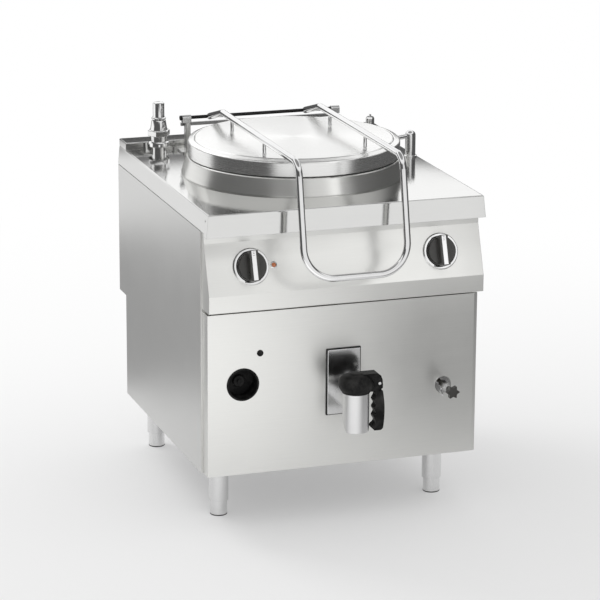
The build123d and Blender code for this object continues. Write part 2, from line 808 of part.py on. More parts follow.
with BuildPart() as hinge_tie:
    with BuildSketch(Plane.YZ.offset(-pillar_x - pillar_width / 2 - tie_overhang)):
        with Locations((hinge_cy + pillar_depth / 2 + seat, hinge_z - tie_drop)):
            Rectangle(tie_size, tie_size, align=(Align.MIN, Align.MAX))
    extrude(amount=2 * pillar_x + pillar_width + 2 * tie_overhang)
keep(hinge_tie.part, "hinge_tie")

# Hinge shaft: hollow, turning with the lid; a torsion bar inside carries part of the lid's weight
with BuildPart() as hinge_shaft:
    with BuildSketch(Plane.YZ.offset(-shaft_half)):
        with Locations((hinge_cy, hinge_z)):
            Circle(shaft_radius)
            Circle(torsion_bar_radius + 2 * running, mode=Mode.SUBTRACT)
    extrude(amount=2 * shaft_half)
keep(hinge_shaft.part, "hinge_shaft")

with BuildPart() as torsion_bar:
    with BuildSketch(Plane.YZ.offset(-shaft_half - 6)):
        with Locations((hinge_cy, hinge_z)):
            Circle(torsion_bar_radius)
    extrude(amount=2 * shaft_half)
    with BuildSketch(Plane.YZ.offset(-shaft_half - seat)):
        with Locations((hinge_cy, hinge_z)):
            RegularPolygon(bearing_radius - 0.5, 6)
    extrude(amount=-6)
keep(torsion_bar.part, "torsion_bar")

# Lid: pressed shell with a rolled edge and a bead, flat liner and gasket below
bead_top = lid_crown_height - lid_crown_fall
with BuildPart() as lid_shell:
    inner = lid_radius - lid_sheet
    skirt = collar_height + lid_skirt_gap
    add(turned([(0, lid_crown_height), (bead_radius - bead_half_width, bead_top),
                (bead_radius, bead_top - bead_depth), (bead_radius + bead_half_width, bead_top - 1),
                (lid_radius, lid_edge_height), (lid_radius, skirt), (inner, skirt),
                (inner, lid_edge_height - lid_sheet), (bead_radius + bead_half_width, bead_top - 3),
                (bead_radius, bead_top - bead_depth - 2 * lid_sheet),
                (bead_radius - bead_half_width, bead_top - lid_sheet),
                (0, lid_crown_height - lid_sheet)], pan_top))
    rolled = lid_shell.edges().filter_by(GeomType.CIRCLE).group_by(SortBy.RADIUS)[-1].sort_by(Axis.Z)[-1]
    fillet(rolled, lid_edge_round)
keep(lid_shell.part, "lid_shell")

liner_height = rim_rise + seat + gasket_thickness
keep(ring(lid_radius - lid_sheet - seat, 0, liner_height, liner_height + lid_sheet, pan_top), "lid_liner")
gasket_mid = vessel_radius + vessel_wall / 2
keep(ring(gasket_mid + gasket_width / 2, gasket_mid - gasket_width / 2, liner_height - gasket_thickness,
          liner_height, pan_top), "lid_gasket")

# Lid handle: one bent tube from the hinge over the lid, down the front and back
handle_left = pan_x - handle_half_spacing
handle_right = pan_x + handle_half_spacing
handle_points = [(handle_left, hinge_cy, hinge_z), (handle_left, mid_y + apex_y, handle_z),
                 (handle_left, mid_y + front_bend_y, handle_z),
                 (handle_left, mid_y + handle_bottom_y, handle_bottom_z)]
mirrored = [(handle_right, y, z) for _, y, z in reversed(handle_points)]
handle_bends = (apex_bend, front_bend, handle_corner, handle_corner, front_bend, apex_bend)
with BuildPart() as lid_handle_frame:
    add(piped(bent_line(handle_points + mirrored, handle_bends), handle_tube_radius,
              handle_tube_radius - 2))
    with BuildSketch(Plane.YZ.offset(handle_left - 2 * handle_tube_radius)):
        with Locations((hinge_cy, hinge_z)):
            Circle(shaft_radius + seat)
            with Locations((0, 0)):
                Rectangle(40, 40, align=(Align.MIN, Align.CENTER))
    extrude(amount=handle_right - handle_left + 4 * handle_tube_radius, mode=Mode.SUBTRACT)
keep(lid_handle_frame.part, "lid_handle_frame")

# Standoffs between the lid and the handle tubes
with BuildPart() as lid_standoffs:
    for x in (handle_left, handle_right):
        for y in standoff_y:
            reach = sqrt((x - pan_x) ** 2 + (y - pan_y) ** 2)
            low = lid_crown_height - lid_crown_fall * reach / (bead_radius - bead_half_width) + seat
            high = handle_rise - handle_tube_radius - seat
            add(turned([(0, low), (standoff_foot, low), (standoff_foot, low + 2),
                        (standoff_radius, low + 5), (standoff_radius, high), (0, high)],
                       top_plane(x, mid_y + y)))
keep(lid_standoffs.part, "lid_standoffs")

# Safety valve: fixed body and a spring-loaded lifting cap
safety_plane = top_plane(safety_x, safety_y)
with BuildPart() as safety_valve_body:
    add(turned([(0, -16), (shank_radius + 5, -16), (shank_radius + 5, -top_sheet - seat),
                (shank_radius, -top_sheet - seat), (shank_radius, 0), (21, 0), (21, 18), (31, 18),
                (31, 29), (22, 29), (22, 65), (22.5, 65), (18, 97), (0, 97)], safety_plane))
    with BuildSketch(safety_plane.offset(47)):
        RegularPolygon(29.5, 6)
    extrude(amount=18)
    add(ring(6 + running, 0, 66, 97, safety_plane), mode=Mode.SUBTRACT)
keep(safety_valve_body.part, "safety_valve_body")
keep(turned([(0, 72), (6, 72), (6, 97 + seat), (18.5, 97 + seat), (20, 99), (20, 103), (15.5, 103),
             (15.5, 146), (13.5, 148), (0, 148)], safety_plane), "safety_valve_cap")

# Vacuum valve and filling column
keep(turned([(0, -14), (shank_radius + 5, -14), (shank_radius + 5, -top_sheet - seat),
             (shank_radius, -top_sheet - seat), (shank_radius, 0), (15, 0), (15, 8), (12.5, 10),
             (12.5, 56), (10, 61), (3, 61), (3, 68), (0, 68)],
            top_plane(vacuum_x, vacuum_y)), "vacuum_valve")

column_plane = top_plane(column_x, mid_y + column_y)
spout_z = worktop_height + column_height - column_radius
with BuildPart() as fill_column:
    add(turned([(0, -14), (shank_radius, -14), (shank_radius, 0), (column_radius + 4, 0),
                (column_radius + 4, 4), (column_radius, 5), (column_radius, column_height),
                (0, column_height)], column_plane))
    fillet(fill_column.edges().group_by(Axis.Z)[-1], column_radius - 1)
    tip = (column_x - spout_reach, mid_y + column_y - spout_drop, spout_z - spout_drop)
    add(piped(bent_line([(column_x, mid_y + column_y, spout_z), tip], ()), spout_radius))
    nozzle = bent_line([tip, (column_x - 10, mid_y + column_y - 1, spout_z - 1)], ())
    add(piped(nozzle, spout_radius - 1.5), mode=Mode.SUBTRACT)
keep(fill_column.part, "fill_column")

# Water pipes: valve to filling column, and supply from the inlet in the rear recess
valve_out = panel_plane(water_x, -valve_port).origin
supply_z = worktop_height - supply_drop
supply_y = recess_back_y - supply_back
with BuildPart() as water_pipes:
    add(piped(bent_line([(valve_out.X + valve_radius + seat, valve_out.Y, valve_out.Z),
                         (column_x, valve_out.Y, valve_out.Z),
                         (column_x, mid_y + column_y, valve_out.Z),
                         (column_x, mid_y + column_y, worktop_height - 14 - seat)],
                        (pipe_bend, pipe_bend)), pipe_radius))
    add(piped(bent_line([(valve_out.X, valve_out.Y, valve_out.Z - valve_drop),
                         (valve_out.X, valve_out.Y, supply_z), (inlet_x, valve_out.Y, supply_z),
                         (inlet_x, supply_y, supply_z), (inlet_x, supply_y, inlet_z),
                         (inlet_x, recess_back_y + inlet_length, inlet_z)], 4 * (pipe_bend,)), pipe_radius))
    rear = Plane(origin=(inlet_x, recess_back_y, inlet_z), x_dir=(1, 0, 0), z_dir=(0, 1, 0))
    add(ring(inlet_radius, 0, -panel_sheet, inlet_length, rear))
    add(ring(inlet_radius + inlet_collar, 0, 0, 5, rear))
    add(ring(inlet_bore, 0, 1, inlet_length, rear), mode=Mode.SUBTRACT)
keep(water_pipes.part, "water_pipes")

# Drain tap: gasket, flange plate, body with an obliquely cut barrel
for name, low, high, radius, margin in (
        ("tap_gasket", 0, tap_gasket_thickness, drain_pipe_radius + seat, 0),
        ("tap_flange", tap_gasket_thickness, tap_gasket_thickness + tap_plate_thickness,
         drain_pipe_radius - drain_wall, tap_gasket_margin)):
    with BuildPart() as plate:
        with BuildSketch(front_plane(tap_x, (tap_plate_top + tap_plate_bottom) / 2, low)):
            RectangleRounded(tap_plate_width - 2 * margin, tap_plate_top - tap_plate_bottom - 2 * margin, 2)
            with Locations((0, tap_z - (tap_plate_top + tap_plate_bottom) / 2)):
                Circle(radius, mode=Mode.SUBTRACT)
        extrude(amount=high - low)
        if margin:
            chamfer(plate.faces().sort_by(Axis.Y)[0].outer_wire().edges(), tap_plate_bevel)
    keep(plate.part, name)

tap_floor = Plane(origin=(tap_x, tap_cy, 0))
tap_neck = Plane(origin=(tap_x, tap_face_y, tap_z), x_dir=(1, 0, 0), z_dir=(0, -1, 0))
neck_length = tap_face_y - tap_cy
with BuildPart() as tap_body:
    add(ring(tap_barrel_radius, 0, tap_outlet_z, tap_barrel_top, tap_floor))
    with BuildSketch(Plane.YZ.offset(tap_x - 50)):
        with BuildLine():
            cut = 60.0
            Polyline((tap_cy + tap_outlet_front, tap_outlet_z),
                     (tap_cy + tap_outlet_front + cut, tap_outlet_z + cut * tap_slant_rise / tap_slant_run),
                     (tap_cy + tap_outlet_front + cut, tap_outlet_z), close=True)
        make_face()
    extrude(amount=100, mode=Mode.SUBTRACT)
    add(ring(tap_neck_radius, 0, 0, neck_length, tap_neck))
    add(ring(tap_bore, 0, tap_outlet_z - 1, tap_barrel_top + 1, tap_floor), mode=Mode.SUBTRACT)
    add(ring(drain_pipe_radius - drain_wall, 0, -1, neck_length, tap_neck), mode=Mode.SUBTRACT)
keep(tap_body.part, "tap_body")

# Plug: hollow, open below, with a side window that meets the neck when the tap is open
with BuildPart() as tap_plug:
    outer = tap_bore - running
    inner = outer - tap_plug_wall
    low = tap_z - 34
    high = tap_barrel_top
    add(turned([(inner, low), (outer, low), (outer, high), (10, high), (10, high + 12), (0, high + 12),
                (0, high - 6), (inner, high - 6)], tap_floor))
    with BuildSketch(Plane.YZ.offset(tap_x)):
        with Locations((tap_cy, tap_z)):
            Circle(inner - 3)
    extrude(amount=-tap_barrel_radius, mode=Mode.SUBTRACT)
keep(tap_plug.part, "tap_plug")

# Cap with the fork that carries the grip, its pin, and the folding grip
with BuildPart() as tap_cap:
    base = tap_barrel_top + seat
    shoulder = tap_cap_height - 9
    with BuildSketch(Plane(origin=(tap_x, tap_cy, base), x_dir=(1, 0, 0), z_dir=(0, -1, 0))):
        with BuildLine():
            Polyline((0, tap_cap_height), (0, 0), (tap_cap_foot, 0))
            Spline((tap_cap_foot, 0), (tap_cap_radius, tap_cap_waist), (tap_cap_shoulder, shoulder),
                   (tap_cap_shoulder / 2, tap_cap_height - 2.4), (0, tap_cap_height),
                   tangents=((0.6, 1), (-1, 0)))
        make_face()
    revolve(axis=Axis((tap_x, tap_cy, 0), (0, 0, 1)))
    with BuildSketch(Plane.XZ.offset(-tap_cy - ear_width / 2)):
        with BuildLine():
            Polyline((tap_x + 15, base + 2), (tap_x + 15, pin_z + ear_rise), (pin_x - 5, pin_z + ear_rise),
                     (pin_x + ear_end - 5.5, pin_z + ear_rise - 8), (pin_x + ear_end - 1.5, pin_z + 10),
                     (pin_x + ear_end, pin_z - 3), (pin_x + ear_end - 0.5, pin_z - 14),
                     (pin_x - 4, base + 2), close=True)
        make_face()
    extrude(amount=ear_width)
    with BuildSketch(Plane.XZ.offset(-tap_cy - ear_slot / 2)):
        with Locations((tap_x + tap_cap_radius + 1.5, base + 1)):
            Rectangle(ear_width, pin_z + tongue_radius + 3 - base, align=(Align.MIN, Align.MIN))
    extrude(amount=ear_slot, mode=Mode.SUBTRACT)
    with BuildSketch(Plane.XZ.offset(-tap_cy - ear_width)):
        with Locations((pin_x, pin_z)):
            Circle(pin_radius + running)
    extrude(amount=2 * ear_width, mode=Mode.SUBTRACT)
    add(ring(10 + running, 0, base - 1, base + 12, tap_floor), mode=Mode.SUBTRACT)
keep(tap_cap.part, "tap_cap")

pin_plane = Plane(origin=(pin_x, tap_cy, pin_z), x_dir=(1, 0, 0), z_dir=(0, -1, 0))
keep(ring(pin_radius, 0, -ear_width / 2 - 1, ear_width / 2 + 1, pin_plane), "tap_pin")

with BuildPart() as tap_grip:
    wave_low = grip_bottom + 17
    wave_step = (grip_top - 3 - wave_low) / (2 * grip_waves)
    waves = [(tap_x + grip_inner + wave_height * (1 if step % 2 else -1), grip_top - 3 - step * wave_step)
             for step in range(2 * grip_waves + 1)]
    with BuildSketch(Plane.XZ.offset(-tap_cy - grip_depth / 2)):
        with BuildLine():
            Spline(*waves)
            Polyline(waves[-1], (tap_x + grip_foot, grip_bottom + 10), (tap_x + grip_inner - 1, grip_bottom),
                     (tap_x + grip_outer - 10, grip_bottom), (tap_x + grip_outer - 4, grip_bottom + 5))
            Spline((tap_x + grip_outer - 4, grip_bottom + 5),
                   (tap_x + grip_outer, (grip_top + grip_bottom) / 2), (pin_x + ear_end + 1, grip_top))
            Polyline((pin_x + ear_end + 1, grip_top), (tap_x + grip_inner, grip_top), waves[0])
        make_face()
    extrude(amount=grip_depth)
    with BuildSketch(Plane.XZ.offset(-tap_cy - ear_slot / 2 + seat)):
        with Locations((pin_x, pin_z)):
            Circle(tongue_radius)
        with Locations((pin_x, grip_top - 4)):
            Rectangle(2 * tongue_radius, pin_z - grip_top + 4, align=(Align.CENTER, Align.MIN))
    extrude(amount=ear_slot - 2 * seat)
    with BuildSketch(Plane.XZ.offset(-tap_cy - ear_slot)):
        with Locations((pin_x, pin_z)):
            Circle(pin_radius + running)
    extrude(amount=2 * ear_slot, mode=Mode.SUBTRACT)
keep(tap_grip.part, "tap_grip")

# Recess with the reset button, and the blanking plug
recess_plane = front_plane(recess_x, recess_z)
keep(turned([(recess_rim, 0), (recess_rim, 1.5), (recess_radius - 2, 1.5),
             (recess_radius - 4, -recess_depth + 1.5), (reset_radius + seat, -recess_depth + 1.5),
             (reset_radius + seat, -recess_depth), (recess_radius - 2, -recess_depth),
             (recess_radius, -2), (recess_radius, 0)], recess_plane), "recess_cup")
keep(turned([(0, -recess_depth - 18), (reset_radius, -recess_depth - 18), (reset_radius, -recess_depth + 5),
             (reset_radius - 2, -recess_depth + 7), (6, -recess_depth + 7), (6, -recess_depth + 12),
             (0, -recess_depth + 12)], recess_plane), "reset_button")
keep(turned([(0, -8), (plug_radius - 2 - seat, -8), (plug_radius - 2 - seat, 0), (plug_radius, 0),
             (plug_radius, 1.5), (plug_radius - 2, 3), (0, 3)], front_plane(plug_x, plug_z)), "blanking_plug")

# Level tap: pipe from the jacket, valve body in the panel opening and its star knob
level_plane = front_plane(level_x, level_z)
level_gland_front = level_hex_front + level_gland_length
level_start = panel_front_y - pan_cy + sqrt((jacket_radius - jacket_wall) ** 2 - (level_x - pan_x) ** 2)
with BuildPart() as level_tap_body:
    add(ring(level_pipe_radius, 0, level_start, 20, level_plane))
    with BuildSketch(level_plane.offset(-level_hex_back)):
        RegularPolygon(level_hex_radius, 6)
    extrude(amount=level_hex_back + level_hex_front)
    add(ring(level_gland_radius, 0, level_hex_front, level_gland_front, level_plane))
    outlet = [(level_x, panel_front_y - 6, level_z), (level_x - 11, panel_front_y - 6, level_z - 13),
              (level_x - 11, panel_front_y - 26, level_z - 22)]
    add(piped(bent_line(outlet, (6,)), 3))
    add(ring(stem_radius + running, 0, 12, level_gland_front + 1, level_plane), mode=Mode.SUBTRACT)
keep(level_tap_body.part, "level_tap_body")

with BuildPart() as star_knob:
    star = []
    for step in range(2 * star_points):
        radius = star_waist if step % 2 else star_radius
        star.append((radius * cos(pi * step / star_points), radius * sin(pi * step / star_points)))
    with BuildSketch(level_plane.offset(level_reach - star_thickness)):
        with BuildLine():
            Polyline(*star, close=True)
        make_face()
    extrude(amount=star_thickness)
    fillet(star_knob.edges().filter_by(Axis.Y), 1.2)
    hub_back = level_gland_front + 2
    hub_front = level_reach - star_thickness
    add(turned([(0, 20), (stem_radius, 20), (stem_radius, hub_back), (level_gland_radius, hub_back),
                (level_gland_radius, hub_front - 4), (star_waist - 0.5, hub_front), (0, hub_front)],
               level_plane))
keep(star_knob.part, "star_knob")

# Terminal box round the element heads, and the cable gland in the rear recess
with BuildPart() as terminal_box:
    with BuildSketch(Plane.XY.offset(frame_top)):
        with Locations((pan_x, frame_back)):
            Rectangle(2 * (element_pitch + terminal_margin), terminal_depth, align=(Align.CENTER, Align.MAX))
    extrude(amount=element_z + terminal_rise - frame_top)
    offset(amount=-panel_sheet, openings=terminal_box.faces().sort_by(Axis.Y)[0])
keep(terminal_box.part, "terminal_box")

gland_plane = Plane(origin=(gland_x, recess_back_y, gland_z), x_dir=(1, 0, 0), z_dir=(0, 1, 0))
with BuildPart() as cable_gland:
    add(turned([(cable_radius, -14), (12, -14), (12, 0), (15, 0), (15, 8), (16, 8), (16, 18), (11, 26),
                (cable_radius, 26)], gland_plane))
    with BuildSketch(gland_plane):
        RegularPolygon(18, 6)
        Circle(cable_radius, mode=Mode.SUBTRACT)
    extrude(amount=8)
keep(cable_gland.part, "cable_gland")
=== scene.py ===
import bmesh
import bpy
import json
from math import cos, pi, radians, sin
from mathutils import Matrix, Vector


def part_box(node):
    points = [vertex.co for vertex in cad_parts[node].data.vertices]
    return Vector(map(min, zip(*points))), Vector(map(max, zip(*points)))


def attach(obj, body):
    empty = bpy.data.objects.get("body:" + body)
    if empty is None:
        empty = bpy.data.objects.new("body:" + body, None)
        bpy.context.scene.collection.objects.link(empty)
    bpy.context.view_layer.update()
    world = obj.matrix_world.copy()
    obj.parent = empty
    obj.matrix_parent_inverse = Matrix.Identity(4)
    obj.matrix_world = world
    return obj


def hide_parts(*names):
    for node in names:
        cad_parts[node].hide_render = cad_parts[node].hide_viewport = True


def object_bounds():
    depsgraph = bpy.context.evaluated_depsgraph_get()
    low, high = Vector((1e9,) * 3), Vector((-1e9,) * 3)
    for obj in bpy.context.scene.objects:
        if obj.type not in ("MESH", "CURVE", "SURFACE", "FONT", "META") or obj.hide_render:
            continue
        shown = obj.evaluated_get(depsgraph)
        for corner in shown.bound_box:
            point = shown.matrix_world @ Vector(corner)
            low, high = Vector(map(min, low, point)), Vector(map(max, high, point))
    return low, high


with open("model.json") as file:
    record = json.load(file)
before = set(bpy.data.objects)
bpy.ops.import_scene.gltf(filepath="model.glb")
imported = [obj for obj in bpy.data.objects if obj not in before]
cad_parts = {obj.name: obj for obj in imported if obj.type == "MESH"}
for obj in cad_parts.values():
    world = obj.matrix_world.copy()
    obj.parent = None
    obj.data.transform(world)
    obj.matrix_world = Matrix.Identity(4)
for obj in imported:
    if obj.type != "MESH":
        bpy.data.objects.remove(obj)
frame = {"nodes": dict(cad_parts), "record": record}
cad_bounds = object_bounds()
scene = bpy.context.scene

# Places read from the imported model, in metres
lid_low, lid_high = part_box("lid_shell")
pan_axis = Vector(((lid_low[0] + lid_high[0]) / 2, (lid_low[1] + lid_high[1]) / 2, 0))

# Camera solved from the photograph: where it stands, how it is turned and its focal length
camera_place = Vector((-2.5290, -7.4525, 2.7451))
camera_yaw = radians(18.694)
camera_pitch = radians(15.693)
camera_roll = radians(0.283)
focal_pixels = 2869.2
photo_pixels = 600
sensor_width = 36.0


# Shader building blocks

def socket(tree, target, value):
    """Link a socket, or set a plain value, on a node input."""
    if isinstance(value, bpy.types.NodeSocket):
        tree.links.new(value, target)
    else:
        target.default_value = value


def add_node(tree, kind, inputs=None, **settings):
    """A node with its settings, and its inputs linked or set by name or number."""
    made = tree.nodes.new(kind)
    for name, value in settings.items():
        setattr(made, name, value)
    for name, value in (inputs or {}).items():
        socket(tree, made.inputs[name], value)
    return made


def maths(tree, operation, *values, clamp=False):
    """One Math node's value."""
    made = tree.nodes.new("ShaderNodeMath")
    made.operation = operation
    made.use_clamp = clamp
    for place, value in enumerate(values):
        socket(tree, made.inputs[place], value)
    return made.outputs[0]


def ramp(tree, factor, low, high):
    """Factor stretched so that low gives 0 and high gives 1."""
    made = add_node(tree, "ShaderNodeMapRange", {"Value": factor, "From Min": low, "From Max": high})
    return made.outputs["Result"]


def mix_colour(tree, factor, first, second, blend="MIX"):
    """Two colours mixed by a factor."""
    made = tree.nodes.new("ShaderNodeMix")
    made.data_type = "RGBA"
    made.blend_type = blend
    socket(tree, made.inputs["Factor"], factor)
    socket(tree, made.inputs["A"], first)
    socket(tree, made.inputs["B"], second)
    return made.outputs["Result"]


def new_group(name, inputs, outputs):
    """A shader node group with named sockets; returns the tree and its input and output nodes."""
    tree = bpy.data.node_groups.new(name, "ShaderNodeTree")
    for label, kind, value in inputs:
        made = tree.interface.new_socket(name=label, in_out="INPUT", socket_type=kind)
        made.default_value = value
    for label, kind in outputs:
        tree.interface.new_socket(name=label, in_out="OUTPUT", socket_type=kind)
    return tree, tree.nodes.new("NodeGroupInput").outputs, tree.nodes.new("NodeGroupOutput").inputs


def brushed_grain_group():
    """Grain of brushed or turned steel: fine stretched lines, faint wiping marks and slow tone changes."""
    tree, given, put = new_group(
        "Brushed grain",
        [("Colour", "NodeSocketColor", (0.7, 0.7, 0.7, 1)), ("Stretch", "NodeSocketVector", (40, 40, 900)),
         ("Contrast", "NodeSocketFloat", 0.12), ("Roughness", "NodeSocketFloat", 0.3),
         ("Roughness Change", "NodeSocketFloat", 0.08), ("Marks", "NodeSocketFloat", 0.5)],
        [("Colour", "NodeSocketColor"), ("Roughness", "NodeSocketFloat"), ("Height", "NodeSocketFloat")])
    place = tree.nodes.new("ShaderNodeTexCoord").outputs["Object"]
    stretched = add_node(tree, "ShaderNodeVectorMath", {0: place, 1: given["Stretch"]}, operation="MULTIPLY")
    grain = add_node(tree, "ShaderNodeTexNoise", {"Vector": stretched.outputs[0], "Scale": 1.0, "Detail": 5.0,
                                                 "Roughness": 0.65}).outputs["Fac"]
    marks = add_node(tree, "ShaderNodeTexNoise", {"Vector": place, "Scale": 9.0, "Detail": 4.0,
                                                 "Roughness": 0.6}).outputs["Fac"]
    slow = add_node(tree, "ShaderNodeTexNoise", {"Vector": place, "Scale": 1.7, "Detail": 1.0}).outputs["Fac"]
    centred = maths(tree, "SUBTRACT", grain, 0.5)
    tone = maths(tree, "MULTIPLY_ADD", centred, given["Contrast"], 1.0)
    smudge = maths(tree, "MULTIPLY", maths(tree, "SUBTRACT", marks, 0.5), given["Marks"])
    tone = maths(tree, "MULTIPLY_ADD", smudge, 0.12, tone)
    tone = maths(tree, "MULTIPLY_ADD", maths(tree, "SUBTRACT", slow, 0.5), 0.05, tone)
    grey = add_node(tree, "ShaderNodeCombineColor", {0: tone, 1: tone, 2: tone}).outputs[0]
    socket(tree, put["Colour"], mix_colour(tree, 1.0, given["Colour"], grey, "MULTIPLY"))
    rough = maths(tree, "MULTIPLY_ADD", centred, given["Roughness Change"], given["Roughness"])
    socket(tree, put["Roughness"], maths(tree, "MULTIPLY_ADD", smudge, 0.18, rough, clamp=True))
    socket(tree, put["Height"], grain)
    return tree


def spun_grain_group():
    """Grain of a turned part: fine rings round an upright axis, with slow changes round the turn."""
    tree, given, put = new_group(
        "Spun grain",
        [("Colour", "NodeSocketColor", (0.7, 0.7, 0.7, 1)), ("Centre", "NodeSocketVector", (0, 0, 0)),
         ("Rings", "NodeSocketFloat", 900.0), ("Contrast", "NodeSocketFloat", 0.12),
         ("Roughness", "NodeSocketFloat", 0.28), ("Roughness Change", "NodeSocketFloat", 0.08)],
        [("Colour", "NodeSocketColor"), ("Roughness", "NodeSocketFloat"), ("Height", "NodeSocketFloat")])
    place = tree.nodes.new("ShaderNodeTexCoord").outputs["Object"]
    centred = add_node(tree, "ShaderNodeVectorMath", {0: place, 1: given["Centre"]}, operation="SUBTRACT")
    parts = add_node(tree, "ShaderNodeSeparateXYZ", {0: centred.outputs[0]}).outputs
    radius = maths(tree, "SQRT", maths(tree, "ADD", maths(tree, "MULTIPLY", parts[0], parts[0]),
                                       maths(tree, "MULTIPLY", parts[1], parts[1])))
    turn = maths(tree, "ARCTAN2", parts[1], parts[0])
    polar = add_node(tree, "ShaderNodeCombineXYZ", {
        0: maths(tree, "MULTIPLY", radius, given["Rings"]), 1: maths(tree, "MULTIPLY", turn, 2.2),
        2: maths(tree, "MULTIPLY", parts[2], given["Rings"])}).outputs[0]
    rings = add_node(tree, "ShaderNodeTexNoise",
                     {"Vector": polar, "Scale": 1.0, "Detail": 4.0}).outputs["Fac"]
    marks = add_node(tree, "ShaderNodeTexNoise",
                     {"Vector": place, "Scale": 7.0, "Detail": 4.0}).outputs["Fac"]
    tone = maths(tree, "MULTIPLY_ADD", maths(tree, "SUBTRACT", rings, 0.5), given["Contrast"], 1.0)
    tone = maths(tree, "MULTIPLY_ADD", maths(tree, "SUBTRACT", marks, 0.5), 0.08, tone)
    grey = add_node(tree, "ShaderNodeCombineColor", {0: tone, 1: tone, 2: tone}).outputs[0]
    socket(tree, put["Colour"], mix_colour(tree, 1.0, given["Colour"], grey, "MULTIPLY"))
    rough = maths(tree, "MULTIPLY_ADD", maths(tree, "SUBTRACT", rings, 0.5), given["Roughness Change"],
                  given["Roughness"])
    patchy = maths(tree, "MULTIPLY_ADD", maths(tree, "SUBTRACT", marks, 0.5), 0.1, rough, clamp=True)
    socket(tree, put["Roughness"], patchy)
    socket(tree, put["Height"], rings)
    return tree


def polish_group():
    """Polished metal's faint wiping haze: tone, roughness and a very low ripple."""
    tree, given, put = new_group(
        "Polish haze",
        [("Colour", "NodeSocketColor", (0.8, 0.8, 0.8, 1)), ("Roughness", "NodeSocketFloat", 0.06),
         ("Haze", "NodeSocketFloat", 0.06), ("Scale", "NodeSocketFloat", 30.0)],
        [("Colour", "NodeSocketColor"), ("Roughness", "NodeSocketFloat"), ("Height", "NodeSocketFloat")])
    place = tree.nodes.new("ShaderNodeTexCoord").outputs["Object"]
    haze = add_node(tree, "ShaderNodeTexNoise", {"Vector": place, "Scale": given["Scale"], "Detail": 5.0,
                                                "Roughness": 0.6}).outputs["Fac"]
    tone = maths(tree, "MULTIPLY_ADD", maths(tree, "SUBTRACT", haze, 0.5), 0.1, 1.0)
    grey = add_node(tree, "ShaderNodeCombineColor", {0: tone, 1: tone, 2: tone}).outputs[0]
    socket(tree, put["Colour"], mix_colour(tree, 1.0, given["Colour"], grey, "MULTIPLY"))
    hazy = maths(tree, "MULTIPLY_ADD", haze, given["Haze"], given["Roughness"], clamp=True)
    socket(tree, put["Roughness"], hazy)
    socket(tree, put["Height"], haze)
    return tree


def moulded_group():
    """Moulded plastic or rubber: fine spark-eroded grain, dust in the tone and patchy gloss."""
    tree, given, put = new_group(
        "Moulded grain",
        [("Colour", "NodeSocketColor", (0.03, 0.03, 0.03, 1)), ("Grain Scale", "NodeSocketFloat", 1400.0),
         ("Roughness", "NodeSocketFloat", 0.45), ("Dust", "NodeSocketFloat", 0.25)],
        [("Colour", "NodeSocketColor"), ("Roughness", "NodeSocketFloat"), ("Height", "NodeSocketFloat")])
    place = tree.nodes.new("ShaderNodeTexCoord").outputs["Object"]
    grain = add_node(tree, "ShaderNodeTexNoise", {"Vector": place, "Scale": given["Grain Scale"],
                                                 "Detail": 2.0}).outputs["Fac"]
    patches = add_node(tree, "ShaderNodeTexNoise", {"Vector": place, "Scale": 24.0, "Detail": 5.0,
                                                   "Roughness": 0.65}).outputs["Fac"]
    dust = maths(tree, "MULTIPLY", ramp(tree, patches, 0.45, 0.8), given["Dust"])
    socket(tree, put["Colour"], mix_colour(tree, dust, given["Colour"], (0.16, 0.155, 0.15, 1)))
    rough = maths(tree, "MULTIPLY_ADD", maths(tree, "SUBTRACT", patches, 0.5), 0.25, given["Roughness"])
    socket(tree, put["Roughness"], maths(tree, "MULTIPLY_ADD", dust, 0.2, rough, clamp=True))
    socket(tree, put["Height"], grain)
    return tree


def edge_wear_group():
    """Mask of rounded-over edges, and a normal that softens them."""
    tree, given, put = new_group(
        "Edge wear", [("Radius", "NodeSocketFloat", 0.0015), ("Strength", "NodeSocketFloat", 1.0)],
        [("Mask", "NodeSocketFloat"), ("Normal", "NodeSocketVector")])
    soft = add_node(tree, "ShaderNodeBevel", {"Radius": given["Radius"]}, samples=4).outputs[0]
    true_normal = tree.nodes.new("ShaderNodeNewGeometry").outputs["Normal"]
    alike = add_node(tree, "ShaderNodeVectorMath", {0: soft, 1: true_normal}, operation="DOT_PRODUCT")
    bent = maths(tree, "SUBTRACT", 1.0, alike.outputs["Value"])
    wear = maths(tree, "MULTIPLY", ramp(tree, bent, 0.02, 0.3), given["Strength"], clamp=True)
    socket(tree, put["Mask"], wear)
    socket(tree, put["Normal"], soft)
    return tree


GROUPS = {"brushed": brushed_grain_group(), "spun": spun_grain_group(), "polish": polish_group(),
          "moulded": moulded_group(), "edge": edge_wear_group()}


